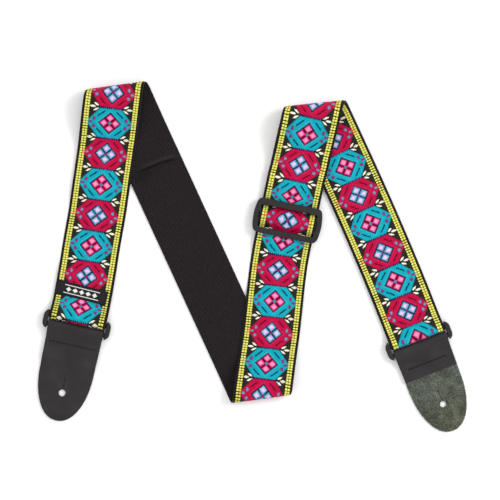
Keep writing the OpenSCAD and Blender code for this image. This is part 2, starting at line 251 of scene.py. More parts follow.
SEC.append(("leg_4", l4, 1, GAP))
rl = run(OR, HR, low_run(0, 16, 20)[::-1]) + run(OR, HR, bar_arc(30)[::-1][1:]) + run(OR, HR, top_run(0, 16, 24, 90, 99, 0)[1:])
SEC.append(("right_loop", rl, 1, 0.0))
SEC.append(("return_leg_4", l4[::-1], -1, GAP))
SEC.append(("return_fold_3", f3[::-1], -1, GAP))
midb = [s for s in mid[::-1] if (s[0][:2] - np.array(SC)) @ dr(HS)[:2] > 27.0]
SEC.append(("return_leg_3", midb, -1, GAP))
sl = run(SC, HS, y_run(0, 27, 60, -GAP)[::-1]) + run(SC, HS, b_arc(40)[1:]) + run(SC, HS, b_tail(30, 26)[1:])
SEC.append(("slider_loop", sl, -1, 0.0))

C, W, N, part = [], [], [], []
for i, (nm, st, sg, off) in enumerate(SEC):
    for c, w, n in st:
        C.append(c + sg * off * n)
        W.append(w)
        N.append(sg * n)
        part.append(i)
C, W, N, part = np.array(C) + SHIFT, np.array(W), np.array(N), np.array(part)
step = np.linalg.norm(np.diff(C, axis=0), axis=1)
S = np.concatenate([[0], np.cumsum(step)])
keep = np.concatenate([[True], step > 1e-4])
S0 = {nm: (S[part == i].min(), S[part == i].max()) for i, (nm, *_x) in enumerate(SEC)}
C, W, N, S = C[keep], W[keep], N[keep], S[keep]
TG = np.gradient(C, S, axis=0)
TB = np.einsum("ij,ij->i", W, TG) / np.linalg.norm(TG, axis=1)
# smooth the tilt a little so that joins between sections don't crease the pattern
ker = np.ones(5) / 5
TB = np.convolve(np.pad(TB, 2, mode="edge"), ker, mode="valid")
LTOT = S[-1]


def F(u, s, h):
    """Band coordinates (u across, s along, h above the back) to space, in mm."""
    u, s, h = np.broadcast_arrays(np.asarray(u, float), np.asarray(s, float), np.asarray(h, float))
    sc = s.copy()
    for _ in range(8):
        sc = 0.5 * sc + 0.5 * (s - u * np.interp(sc, S, TB))
    P = np.stack([np.interp(sc, S, C[:, k]) + u * np.interp(sc, S, W[:, k]) + h * np.interp(sc, S, N[:, k]) for k in range(3)], -1)
    return P


# names of the lengths, their body, and the s range of each (tilted ends follow the rulings)
BODY = {nm: "root" for nm, *_x in SEC}
BODY["slider_hump"] = BODY["slider_loop"] = "slider"
BLEND = {"leg_3_lower", "leg_3_upper", "return_leg_3"}
order = [nm for nm, *_x in SEC]
cuts = [S0[order[0]][0]]
for a, b in zip(order, order[1:]):
    cuts.append(0.5 * (S0[a][1] + S0[b][0]))
cuts.append(S0[order[-1]][1])
RANGE = {nm: (cuts[i], cuts[i + 1]) for i, nm in enumerate(order)}


def svals(s0, s1, step0):
    n = max(2, int(round((s1 - s0) / step0)))
    return np.linspace(s0, s1, n + 1)


# ------------------------------------------------------------------ materials
def srgb(r, g, b):
    f = lambda c: c / 12.92 if c <= 0.04045 else ((c + 0.055) / 1.055) ** 2.4
    return tuple(f(x / 255) for x in (r, g, b))


def mat(name, rough=0.6, spec=0.4, sheen=0.0):
    m = bpy.data.materials.new(name)
    m.use_nodes = True
    nt = m.node_tree
    b = nt.nodes["Principled BSDF"]
    b.inputs["Roughness"].default_value = rough
    b.inputs["Specular IOR Level"].default_value = spec
    b.inputs["Sheen Weight"].default_value = sheen
    b.inputs["Sheen Roughness"].default_value = 0.45
    return m, nt, b


def nd(nt, kind, **kw):
    n = nt.nodes.new(kind)
    for k, v in kw.items():
        if k in n.inputs:
            n.inputs[k].default_value = v
        else:
            setattr(n, k, v)
    return n


def ramp(nt, fac, stops):
    r = nt.nodes.new("ShaderNodeValToRGB")
    e = r.color_ramp.elements
    while len(e) > 1:
        e.remove(e[-1])
    e[0].position, e[0].color = stops[0][0], (*stops[0][1], 1)
    for p, c in stops[1:]:
        x = e.new(p)
        x.color = (*c, 1)
    nt.links.new(fac, r.inputs["Fac"])
    return r.outputs["Color"]


def mix(nt, kind, fac, a, b):
    m = nt.nodes.new("ShaderNodeMix")
    m.data_type = "RGBA"
    m.blend_type = kind
    for sock, v in ((m.inputs[0], fac), (m.inputs[6], a), (m.inputs[7], b)):
        if isinstance(v, bpy.types.NodeSocket):
            nt.links.new(v, sock)
        else:
            sock.default_value = v if isinstance(v, (int, float)) else (*v, 1)
    return m.outputs[2]


def math_node(nt, op, a, b=None):
    m = nt.nodes.new("ShaderNodeMath")
    m.operation = op
    for sock, v in ((m.inputs[0], a), (m.inputs[1], b)):
        if v is None:
            continue
        if isinstance(v, bpy.types.NodeSocket):
            nt.links.new(v, sock)
        else:
            sock.default_value = v
    return m.outputs[0]


def uv_mm(nt):
    """u and s of the band in mm, from the piece's UV layer, which stores them in decimetres."""
    uv = nd(nt, "ShaderNodeUVMap", uv_map="band")
    sep = nt.nodes.new("ShaderNodeSeparateXYZ")
    nt.links.new(uv.outputs[0], sep.inputs[0])
    return math_node(nt, "MULTIPLY", sep.outputs[0], 100.0), math_node(nt, "MULTIPLY", sep.outputs[1], 100.0), uv


def bump(nt, b, height, strength, dist, normal=None):
    n = nd(nt, "ShaderNodeBump", Strength=strength, Distance=dist)
    nt.links.new(height, n.inputs["Height"])
    if normal is not None:
        nt.links.new(normal, n.inputs["Normal"])
    nt.links.new(n.outputs[0], b.inputs["Normal"])
    return n.outputs[0]


def sine(nt, x, period, phase=0.0):
    a = math_node(nt, "MULTIPLY", x, 2 * math.pi / period)
    a = math_node(nt, "ADD", a, phase)
    return math_node(nt, "ADD", math_node(nt, "MULTIPLY", math_node(nt, "SINE", a), 0.5), 0.5)


# black nylon webbing: fine 2/2 twill with slubs
mw, nt, b = mat("webbing_nylon", 0.7, 0.1, 0.03)
U, V, uv = uv_mm(nt)
au = math_node(nt, "ABSOLUTE", U)
tw = sine(nt, math_node(nt, "ADD", math_node(nt, "MULTIPLY", U, 0.07), V), 1.8)
warp = sine(nt, U, 0.62)
weft = sine(nt, V, 0.8)
h = math_node(nt, "ADD", math_node(nt, "MULTIPLY", tw, 0.62), math_node(nt, "ADD", math_node(nt, "MULTIPLY", warp, 0.28), math_node(nt, "MULTIPLY", weft, 0.2)))
noi = nd(nt, "ShaderNodeTexNoise", Scale=900.0, Detail=3.0)
tc = nt.nodes.new("ShaderNodeTexCoord")
nt.links.new(tc.outputs["Object"], noi.inputs["Vector"])
col = ramp(nt, math_node(nt, "ADD", math_node(nt, "MULTIPLY", h, 0.6), math_node(nt, "MULTIPLY", noi.outputs["Fac"], 0.4)), [(0.22, srgb(6, 4, 5)), (0.5, srgb(24, 19, 21)), (0.8, srgb(49, 43, 46))])
# painted light along the leg 2 fold: R darkens the twill as painted shade, G lightens the ridge as painted highlight
crease_light_attr = nd(nt, "ShaderNodeVertexColor", layer_name="crease")
crease_light_split = nt.nodes.new("ShaderNodeSeparateColor")
nt.links.new(crease_light_attr.outputs["Color"], crease_light_split.inputs[0])
col = mix(nt, "MULTIPLY", crease_light_split.outputs[0], col, (0.16, 0.15, 0.15))
col = mix(nt, "MIX", crease_light_split.outputs[1], col, srgb(60, 54, 57))
nt.links.new(col, b.inputs["Base Color"])
bump(nt, b, h, 0.6, 0.0003)
MAT_WEB = mw

# jacquard ribbon: colour of each woven cell comes from the mesh; threads from bump
mj, nt, b = mat("ribbon_jacquard", 0.6, 0.05, 0.0)
U, V, uv = uv_mm(nt)
vc = nd(nt, "ShaderNodeVertexColor", layer_name="cell")
wf = sine(nt, V, 0.45)
wp = sine(nt, U, 0.45)
h = math_node(nt, "ADD", math_node(nt, "MULTIPLY", wf, 0.6), math_node(nt, "MULTIPLY", wp, 0.4))
shade = ramp(nt, wf, [(0.0, (0.80, 0.80, 0.80)), (0.6, (1, 1, 1))])
nt.links.new(mix(nt, "MULTIPLY", 1.0, vc.outputs["Color"], shade), b.inputs["Base Color"])
bump(nt, b, h, 0.45, 0.00012)
MAT_RIB = mj

# thread
mt, nt, b = mat("thread_black", 0.6, 0.12, 0.02)
tc = nt.nodes.new("ShaderNodeTexCoord")
noi = nd(nt, "ShaderNodeTexNoise", Scale=2500.0, Detail=2.0)
nt.links.new(tc.outputs["Object"], noi.inputs["Vector"])
nt.links.new(ramp(nt, noi.outputs["Fac"], [(0.3, srgb(6, 5, 5)), (0.7, srgb(24, 21, 21))]), b.inputs["Base Color"])
bump(nt, b, noi.outputs["Fac"], 0.4, 0.0001)
MAT_THREAD = mt

# moulded plastic: satin with a fine erosion texture and slight flow marks
mp, nt, b = mat("plastic_moulded", 0.38, 0.32)
tc = nt.nodes.new("ShaderNodeTexCoord")
n1 = nd(nt, "ShaderNodeTexNoise", Scale=2200.0, Detail=4.0)
n2 = nd(nt, "ShaderNodeTexNoise", Scale=90.0, Detail=2.0)
for n in (n1, n2):
    nt.links.new(tc.outputs["Object"], n.inputs["Vector"])
nt.links.new(ramp(nt, n2.outputs["Fac"], [(0.3, srgb(27, 23, 24)), (0.7, srgb(37, 32, 33))]), b.inputs["Base Color"])
rr = ramp(nt, n1.outputs["Fac"], [(0.3, (0.30, 0.30, 0.30)), (0.7, (0.46, 0.46, 0.46))])
nt.links.new(rr, b.inputs["Roughness"])
bump(nt, b, n1.outputs["Fac"], 0.25, 0.00006)
MAT_PLASTIC = mp

# grain leather: pebbled cells, pores, soft creases
ml_, nt, b = mat("leather_grain", 0.48, 0.28, 0.0)
tc = nt.nodes.new("ShaderNodeTexCoord")
vo = nd(nt, "ShaderNodeTexVoronoi", Scale=950.0, feature="DISTANCE_TO_EDGE")
vo2 = nd(nt, "ShaderNodeTexVoronoi", Scale=420.0, feature="DISTANCE_TO_EDGE")
n1 = nd(nt, "ShaderNodeTexNoise", Scale=60.0, Detail=4.0, Roughness=0.6)
n2 = nd(nt, "ShaderNodeTexNoise", Scale=1800.0, Detail=3.0)
wa = nd(nt, "ShaderNodeTexNoise", Scale=300.0, Detail=2.0)
for n in (n1, n2, wa):
    nt.links.new(tc.outputs["Object"], n.inputs["Vector"])
va = nd(nt, "ShaderNodeVectorMath", operation="SCALE", Scale=0.0012)
nt.links.new(wa.outputs["Color"], va.inputs[0])
vb = nd(nt, "ShaderNodeVectorMath", operation="ADD")
nt.links.new(tc.outputs["Object"], vb.inputs[0])
nt.links.new(va.outputs[0], vb.inputs[1])
nt.links.new(vb.outputs[0], vo.inputs["Vector"])
nt.links.new(vb.outputs[0], vo2.inputs["Vector"])
e1 = ramp(nt, vo.outputs["Distance"], [(0.0, (0, 0, 0)), (0.12, (1, 1, 1))])
e2 = ramp(nt, vo2.outputs["Distance"], [(0.0, (0, 0, 0)), (0.10, (1, 1, 1))])
h = math_node(nt, "ADD", math_node(nt, "MULTIPLY", e1, 0.45), math_node(nt, "ADD", math_node(nt, "MULTIPLY", e2, 0.35), math_node(nt, "MULTIPLY", n1.outputs["Fac"], 1.2)))
col = ramp(nt, n1.outputs["Fac"], [(0.25, srgb(29, 25, 26)), (0.5, srgb(38, 34, 35)), (0.8, srgb(50, 46, 47))])
col = mix(nt, "MULTIPLY", 0.5, col, ramp(nt, e1, [(0.0, (0.6, 0.6, 0.6)), (1.0, (1, 1, 1))]))
nt.links.new(col, b.inputs["Base Color"])
rr = ramp(nt, n1.outputs["Fac"], [(0.3, (0.42, 0.42, 0.42)), (0.7, (0.60, 0.60, 0.60))])
nt.links.new(rr, b.inputs["Roughness"])
bump(nt, b, h, 0.35, 0.00018)
MAT_LEATHER = ml_

# suede flesh side: matted fibres, mottled grey green
ms, nt, b = mat("leather_suede", 0.95, 0.05, 0.3)
tc = nt.nodes.new("ShaderNodeTexCoord")
n1 = nd(nt, "ShaderNodeTexNoise", Scale=1900.0, Detail=6.0, Roughness=0.8)
n2 = nd(nt, "ShaderNodeTexNoise", Scale=110.0, Detail=3.0)
n3 = nd(nt, "ShaderNodeTexNoise", Scale=850.0, Detail=5.0, Roughness=0.85)
for n in (n1, n2, n3):
    nt.links.new(tc.outputs["Object"], n.inputs["Vector"])
f = math_node(nt, "ADD", math_node(nt, "MULTIPLY", n1.outputs["Fac"], 0.38), math_node(nt, "ADD", math_node(nt, "MULTIPLY", n3.outputs["Fac"], 0.47), math_node(nt, "MULTIPLY", n2.outputs["Fac"], 0.15)))
al = nd(nt, "ShaderNodeVertexColor", layer_name="along")
cool = ramp(nt, f, [(0.38, srgb(16, 19, 16)), (0.50, srgb(76, 82, 74)), (0.62, srgb(142, 147, 136))])
warm = ramp(nt, f, [(0.38, srgb(16, 17, 12)), (0.50, srgb(73, 76, 63)), (0.62, srgb(134, 137, 118))])
sp_ = nt.nodes.new("ShaderNodeSeparateColor")
nt.links.new(al.outputs["Color"], sp_.inputs[0])
nt.links.new(mix(nt, "MIX", sp_.outputs[0], cool, warm), b.inputs["Base Color"])
bump(nt, b, f, 0.9, 0.0005)
MAT_SUEDE = ms

# raw cut edge of the leather
me_, nt, b = mat("leather_edge", 0.8, 0.2)
tc = nt.nodes.new("ShaderNodeTexCoord")
n1 = nd(nt, "ShaderNodeTexNoise", Scale=1500.0, Detail=4.0)
nt.links.new(tc.outputs["Object"], n1.inputs["Vector"])
nt.links.new(ramp(nt, n1.outputs["Fac"], [(0.3, srgb(34, 33, 32)), (0.7, srgb(66, 66, 62))]), b.inputs["Base Color"])
bump(nt, b, n1.outputs["Fac"], 0.5, 0.0003)
MAT_EDGE = me_


# ------------------------------------------------------------------ mesh helpers
def make(name, verts, faces, material, uvs=None, smooth=True, cell=None, mats=None, more=()):
    """faces: (n,4) array or list. uvs: per vertex (u, s) in mm. cell: per face linear rgb. more: further polygons."""
    verts = np.array(verts, float)
    verts[:, 2] = np.maximum(verts[:, 2], 0.02)
    me = bpy.data.meshes.new(name)
    if isinstance(faces, np.ndarray):
        nf, k = faces.shape
        tot = np.array([k] * nf + [len(f) for f in more], np.int32)
        vi = np.concatenate([faces.ravel()] + [np.array(f) for f in more]).astype(np.int32)
        me.vertices.add(len(verts))
        me.vertices.foreach_set("co", np.ascontiguousarray(verts * MM, dtype=np.float32).ravel())
        me.loops.add(len(vi))
        me.loops.foreach_set("vertex_index", vi)
        me.polygons.add(len(tot))
        me.polygons.foreach_set("loop_start", np.concatenate([[0], np.cumsum(tot)[:-1]]).astype(np.int32))
        me.polygons.foreach_set("loop_total", tot)
        me.update(calc_edges=True)
    else:
        me.from_pydata([tuple(v * MM) for v in verts], [], faces)
        me.update()
    me.polygons.foreach_set("use_smooth", np.full(len(me.polygons), smooth))
    lv = np.empty(len(me.loops), np.int32)
    me.loops.foreach_get("vertex_index", lv)
    if uvs is not None:
        lay = me.uv_layers.new(name="band")
        lay.data.foreach_set("uv", np.ascontiguousarray(uvs[lv] * 0.01, dtype=np.float32).ravel())
    if cell is not None:
        at = me.color_attributes.new("cell", "FLOAT_COLOR", "CORNER")
        lt = np.empty(len(me.polygons), np.int32)
        me.polygons.foreach_get("loop_total", lt)
        c = np.repeat(np.c_[cell, np.ones(len(cell))], lt, axis=0)
        at.data.foreach_set("color", np.ascontiguousarray(c, dtype=np.float32).ravel())
    for m in mats or [material]:
        me.materials.append(m)
    o = bpy.data.objects.new(name, me)
    bpy.context.scene.collection.objects.link(o)
    return o


def attach(o, nm):
    """Rides a piece of the band on its body; a piece of the lengths in BLEND is baked to world space and left on no
    body.
    """
    if nm in BLEND:
        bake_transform(o)
    else:
        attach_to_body(o, BODY[nm])


def crease(P, h):
    """Soft fold line on the back of leg 2, as an extra lift in mm, plus a painted shade along the fold and in the
    hollow below it, and a painted highlight on the ridge above it.
    """
    a, e = np.array(px(139.0, 171.1)), np.array(px(177.8, 157.8))
    d = e - a
    L = np.linalg.norm(d)
    t = ((P[..., :2] - a) @ d) / L / L
    off = (P[..., :2] - a) @ np.array([-d[1], d[0]]) / L
    side = off - 1.2 * np.sin(np.clip(t, 0, 1) * 2.6)
    up = np.where(side > 0, np.exp(-(side / 5.5) ** 2), np.exp(-(side / 0.75) ** 2)) * 1.9
    up = up - 0.25 * np.exp(-((side + 2.6) / 1.6) ** 2)
    env = np.clip((t + 0.10) / 0.3, 0, 1) * np.clip((1.04 - t) / 0.25, 0, 1)
    env = env * env * (3 - 2 * env)
    # painted shade: a dark line along the fold and a dimmer patch in the hollow beside leg 1
    painted_shade = env * np.exp(-((side + 0.6) / 0.95) ** 2) + 0.42 * np.clip((t + 0.25) / 0.2, 0, 1) * np.clip((0.55 - t) / 0.5, 0, 1) * np.exp(-((side + 5.0) / 5.5) ** 2)
    # painted highlight on the ridge above the fold
    painted_highlight = 0.30 * env * np.exp(-((side - 2.2) / 1.7) ** 2)
    return np.where(h < 0.3, up * env, 0.0), np.clip(painted_shade, 0, 1), painted_highlight


def band(name, sv, loop, material, fold=False):
    """Closed solid: a cross-section loop of (u, h) swept along s."""
    loop = np.array(loop, float)
    m, n = len(loop), len(sv)
    u = np.tile(loop[:, 0], (n, 1))
    h = np.tile(loop[:, 1], (n, 1))
    s = np.tile(sv[:, None], (1, m))
    P = F(u, s, h)
    # lift along the leg 2 fold, with its painted shade and painted highlight
    if fold:
        up, painted_shade, painted_highlight = crease(P, h)
        P[..., 2] += up
    P = P.reshape(-1, 3)
    uvs = np.stack([u, s], -1).reshape(-1, 2)
    i, j = np.meshgrid(np.arange(n - 1), np.arange(m), indexing="ij")
    a = i * m + j
    b_ = i * m + (j + 1) % m
    q = np.stack([a, b_, b_ + m, a + m], -1).reshape(-1, 4)
    o = make(name, P, q, material, uvs)
    if fold:
        # painted shade (R) and painted highlight (G) of the fold, stored per vertex for the webbing material
        at = o.data.color_attributes.new("crease", "FLOAT_COLOR", "POINT")
        at.data.foreach_set("color", np.stack([painted_shade, painted_highlight, 0 * painted_shade, 0 * painted_shade + 1], -1).astype(np.float32).ravel())
    bm = bmesh.new()
    bm.from_mesh(o.data)
    bm.verts.ensure_lookup_table()
    for k in (0, n - 1):
        try:
            fc = bm.faces.new([bm.verts[k * m + j] for j in range(m)])
            fc.smooth = False
        except ValueError:
            pass
    bmesh.ops.recalc_face_normals(bm, faces=bm.faces)
    bm.to_mesh(o.data)
    bm.free()
    return o


def web_loop(cols=15):
    """Webbing section: slightly thicker rounded selvedges and two shallow ribs by each edge."""
    us = np.concatenate([[24.55, 24.1, 23.6, 23.0, 22.4], np.linspace(21, -21, cols), [-22.4, -23.0, -23.6, -24.1, -24.55]])
    top = [(x, WEB - (0.12 if abs(x) < 22.6 else 0.0) + (0.03 if abs(abs(x) - 24.1) < 0.1 else 0)) for x in us]
    left = [(-24.85, 1.0), (-25.0, 0.6), (-24.85, 0.2)]
    bot = [(x, 0.0 if abs(x) > 22.6 else 0.04) for x in us[::-1]]
    right = [(24.85, 0.2), (25.0, 0.6), (24.85, 1.0)]
    return top + left + bot + right


# ------------------------------------------------------------------ jacquard pattern
CR, CRL = (214, 20, 78), (230, 42, 96)
TE, TEL = (24, 190, 210), (56, 206, 224)
NAVY, MAR = (24, 38, 84), (112, 12, 52)
BLU, LIL, VIO = (92, 172, 208), (232, 206, 248), (150, 40, 118)
PNK, GRB = (255, 158, 206), (92, 150, 184)
CREAM, CREAMD = (255, 250, 226), (206, 192, 156)
YEL, YELD, OLI = (246, 243, 118), (212, 206, 74), (52, 49, 8)
GRD, GRD2 = (42, 40, 36), (54, 51, 46)
CELL = 0.45
MED = 27.0
KS = None


def pattern(u, s):
    """sRGB colour and relief height of the woven cell at (u, s)."""
    n = u.shape
    kk = np.interp(s, KS[0], KS[1])
    k = np.floor(kk + 0.5)
    v = (kk - k) * MED
    red = (k.astype(int) % 2) == 0
    col = np.empty(n + (3,))
    hgt = np.zeros(n)
    col[:] = GRD
    au, av = np.abs(u), np.abs(v)

    def put(m, cr, ct, hh):
        col[m & red] = cr
        col[m & ~red] = ct
        hgt[m] = hh

    # faint warp stripes in the ground
    col[(np.floor(u / CELL).astype(int) % 3 == 0)] = GRD2
    # medallion
    edge = 9.05 + (13.5 - av) * (18.8 - 9.05) / (13.5 - 1.7)
    lim = np.minimum(edge, 18.8)
    inn = au <= lim
    put(inn, CR, TE, 0.12)
    put(inn & (au > lim - 0.7) & (av < 13.1), (196, 14, 70), (14, 150, 176), 0.10)
    # satin shading in the body, parallel to the inner square
    rad = au / 9.9 + av / 9.6
    band_ = inn & (rad > 1.0)
    put(band_ & (np.abs(rad - 1.16) < 0.045), CRL, TEL, 0.13)
    put(band_ & (np.abs(rad - 1.62) < 0.05), (206, 18, 76), (18, 168, 196), 0.12)
    # serrated join with the next medallion
    tooth = (np.floor(u / CELL).astype(int) % 4) < 2
    put((av > 12.7) & inn & tooth, (26, 14, 52), (10, 22, 70), 0.05)
    put((av > 13.1) & inn & ~tooth, (150, 20, 84), (20, 110, 150), 0.10)
    # four dashes
    x0, y0, x1, y1 = 10.4, 5.9, 5.5, 10.3
    dx, dy = x1 - x0, y1 - y0
    t = np.clip(((au - x0) * dx + (av - y0) * dy) / (dx * dx + dy * dy), 0, 1)
    d = np.hypot(au - x0 - t * dx, av - y0 - t * dy)
    put(d < 0.6, (126, 4, 40), (4, 66, 92), 0.05)
    # droplets
    for cx, cy, ax, ay in ((13.6, -3.5, 1.35, 1.5), (16.6, 0.0, 1.7, 1.0), (13.6, 3.3, 1.2, 1.6)):
        e = ((au - cx) / ax) ** 2 + ((v - cy) / ay) ** 2
        put(e < 1.35, (120, 10, 52), (10, 104, 150), 0.08)
        put(e < 0.95, (120, 152, 196), (150, 58, 132), 0.15)
        put(e < 0.3, (140, 172, 212), (168, 60, 132), 0.16)
    # inner square
    put(rad < 1.02, (8, 18, 52), (8, 26, 66), 0.05)
    put(rad < 0.90, BLU, (214, 28, 92), 0.17)
    # separators between the four diamonds
    dg = np.abs(au - av) / 1.414
    put((rad < 0.90) & (dg < 0.56), (8, 34, 62), (86, 4, 36), 0.07)
    for cx, cy in ((0, 4.7), (5.05, 0)):
        e = np.abs(au - cx) / 2.95 + np.abs(av - cy) / 2.75
        put((e < 1.0) & (dg > 0.4), (188, 186, 232), (246, 118, 178), 0.19)
        put(e < 0.62, LIL, PNK, 0.20)
    e = au / 1.75 + av / 1.6
    put(e < 1.0, VIO, GRB, 0.16)
    # leaves at the notches
    vn = 13.5 - av
    sg = np.where(v > 0, 1.0, -1.0)
    for cx, cy, a, bb, ang in ((15.9, 0.0, 2.8, 0.98, 0), (12.9, 2.15, 2.6, 0.8, -30), (12.9, -2.15, 2.6, 0.8, 30)):
        # distance along and across the leaf, measured from the notch centre
        yy = np.where(v > 0, v - 13.5, v + 13.5) - cy
        xx = au - cx
        c_, s_ = math.cos(math.radians(ang)), math.sin(math.radians(ang))
        p = xx * c_ - yy * s_
        q = xx * s_ + yy * c_
        wdt = bb * np.clip(1 - (np.abs(p) / a) ** 1.7, 0, 1)
        m = (np.abs(q) < wdt) & ~inn
        col[m] = CREAM
        hgt[m] = 0.17
        m2 = m & (np.abs(q) < 0.12) & (ang == 0)
        col[m2] = CREAMD
    # border: two columns of blocks in step
    bz = (au > 18.8) & (au < 22.75)
    col[bz] = OLI
    hgt[bz] = 0.03
    f_ = np.mod(kk * 12, 1.0)
    for c0, c1 in ((18.9, 20.5), (21.1, 22.65)):
        m = (au >= c0) & (au <= c1) & (f_ > 0.27)
        col[m] = YEL
        hgt[m] = 0.19
        m = m & (f_ < 0.42)
        col[m] = YELD
    # floats of the medallion tips show through the inner border column
    m = (au > 18.8) & (au < 20.7) & (av < 2.4)
    tint = np.where(red[..., None], np.array((250, 120, 60.0)), np.array((150, 220, 150.0)))
    col[m] = 0.62 * col[m] + 0.38 * tint[m]
    # hemmed edge of the ribbon
    m = au >= 22.75
    col[m] = (23, 20, 20)
    hgt[m] = 0.02
    return col, hgt


def underside(n, m, first, flip, cols=(), inner=0):
    """Polygons that close a sheet of n rows and m columns below, between the lower points of its skirt. cols: inner columns that have lower points of their own, from index inner on."""
    cc = [0, *cols, m - 1]

    def pt(r, j):
        if j == 0:
            return first + (2 * m + n - 3 + n - 1 - r if r else 0)
        return first + m - 1 + r if j == len(cc) - 1 else inner + (r - 1) * len(cols) + j - 1

    f = []
    for r in range(n - 1):
        for j in range(len(cc) - 1):
            a, b_ = cc[j], cc[j + 1]
            lo_ = [first + c for c in range(a, b_ + 1)] if r == 0 else [pt(r, j), pt(r, j + 1)]
            hi_ = [first + m + n - 2 + m - 1 - c for c in range(b_, a - 1, -1)] if r == n - 2 else [pt(r + 1, j + 1), pt(r + 1, j)]
            f.append((lo_ + hi_)[::-1] if flip else lo_ + hi_)
    return f


def ribbon(nm, s0, s1):
    nu = int(round(2 * 23.175 / CELL))
    ue = (np.arange(nu + 1) - nu / 2) * CELL
    k0, k1 = math.ceil(s0 / CELL), math.floor(s1 / CELL)
    se = np.concatenate([[s0], np.arange(k0, k1 + 1) * CELL, [s1]])
    se = se[np.concatenate([[True], np.diff(se) > 0.02])]
    se[-1] = s1
    uc, sc = 0.5 * (ue[1:] + ue[:-1]), 0.5 * (se[1:] + se[:-1])
    Sg, Ug = np.meshgrid(sc, uc, indexing="ij")
    col, hgt = pattern(Ug, Sg)
    # thread to thread variation
    r = np.random.default_rng(sum(map(ord, nm)))
    var = 1 + 0.09 * (r.random(Ug.shape) - 0.5) + 0.06 * (r.random((len(sc), 1)) - 0.5) + 0.05 * (r.random((1, len(uc))) - 0.5)
    col = np.clip(col * var[..., None], 0, 255)
    c = col / 255
    pale = (col[..., 0] > 185) & (col[..., 1] > 105)
    linc = np.where(pale, 0.95, 0.74)[..., None] * np.where(c <= 0.04045, c / 12.92, ((c + 0.055) / 1.055) ** 2.4)
    hgt = hgt + 0.02 * r.random(Ug.shape)
    # corner heights
    pad = np.pad(hgt, 1, mode="edge")
    hv = 0.25 * (pad[1:, 1:] + pad[:-1, 1:] + pad[1:, :-1] + pad[:-1, :-1])
    S2, U2 = np.meshgrid(se, ue, indexing="ij")
    H2 = WEB + 0.28 + hv
    n, m = S2.shape
    # skirt around the sheet down to the webbing
    top = F(U2, S2, H2).reshape(-1, 3)
    idx = np.arange(n * m).reshape(n, m)
    ring = np.concatenate([idx[0, :], idx[1:, -1], idx[-1, -2::-1], idx[-2:0:-1, 0]])
    uu, ss = U2.ravel()[ring], S2.ravel()[ring]
    low = F(uu, ss, np.full(len(ring), WEB - 0.09))
    cols = list(range(8, m - 4, 8))
    ui, si = U2[1:-1, cols].ravel(), S2[1:-1, cols].ravel()
    P = np.vstack([top, low, F(ui, si, np.full(len(ui), WEB - 0.09))])
    uvs = np.vstack([np.stack([U2, S2], -1).reshape(-1, 2), np.stack([uu, ss], -1), np.stack([ui, si], -1)])
    q = np.stack([idx[:-1, :-1], idx[:-1, 1:], idx[1:, 1:], idx[1:, :-1]], -1).reshape(-1, 4)
    L = len(ring)
    a = ring
    bb = np.roll(ring, -1)
    la = n * m + np.arange(L)
    lb = n * m + (np.arange(L) + 1) % L
    sk = np.stack([a, la, lb, bb], -1)
    cellc = np.vstack([linc.reshape(-1, 3), np.tile(srgb(30, 27, 26), (L + (n - 1) * (len(cols) + 1), 1))])
    # orientation: outward is +h
    e1 = P[q[0, 1]] - P[q[0, 0]]
    e2 = P[q[0, 3]] - P[q[0, 0]]
    up = F(ue[0], se[0], 1.0) - F(ue[0], se[0], 0.0)
    turned = np.cross(e1, e2) @ up < 0
    if turned:
        q = q[:, ::-1]
        sk = sk[:, ::-1]
    o = make("ribbon_" + nm + "_woven", P, np.vstack([q, sk]), MAT_RIB, uvs, cell=cellc, more=underside(n, m, n * m, not turned, cols, n * m + L))
    return o


def capsules(name, segs, rad, material, body=None, sides=6):
    """Short rounded threads. segs: list of arrays of points (k, 3) in mm, all with the same k."""
    V, Q, off = [], [], 0
    for pts in segs:
        pts = np.asarray(pts, float)
        k = len(pts)
        tg = np.gradient(pts, axis=0)
        tg /= np.linalg.norm(tg, axis=1)[:, None]
        ref = np.array([0, 0, 1.0]) if abs(tg[0][2]) < 0.9 else np.array([1.0, 0, 0])
        sx = np.cross(tg, ref)
        sx /= np.linalg.norm(sx, axis=1)[:, None]
        sy = np.cross(sx, tg)
        prof = np.sin(np.linspace(0.12, math.pi - 0.12, k)) ** 0.45
        for i in range(k):
            for j in range(sides):
                a = 2 * math.pi * j / sides
                V.append(pts[i] + rad * prof[i] * (math.cos(a) * sx[i] + math.sin(a) * sy[i]))
        for i in range(k - 1):
            for j in range(sides):
                a, b_ = off + i * sides + j, off + i * sides + (j + 1) % sides
                Q.append((a, b_, b_ + sides, a + sides))
        Q.append(tuple(off + j for j in range(sides))[::-1])
        Q.append(tuple(off + (k - 1) * sides + j for j in range(sides)))
        off += k * sides
    return make(name, np.array(V), [f[::-1] for f in Q], material)


def s_at(P, lo, hi):
    sv = np.linspace(lo, hi, 3000)
    X = F(np.zeros_like(sv), sv, np.zeros_like(sv))[:, :2]
    return sv[np.argmin(np.linalg.norm(X - np.array(P), axis=1))]


def px(x, y):
    """Lay-out point given in the plan grid used for the measurements (0.87 mm per unit)."""
    return ((x - 250.65) * 0.87 + SHIFT[0], (256 - y) * 0.87 + SHIFT[1])


# where the medallions lie along the band: plan points of their centres on each open length
def mid_s(nm):
    return 0.5 * (RANGE[nm][0] + RANGE[nm][1])


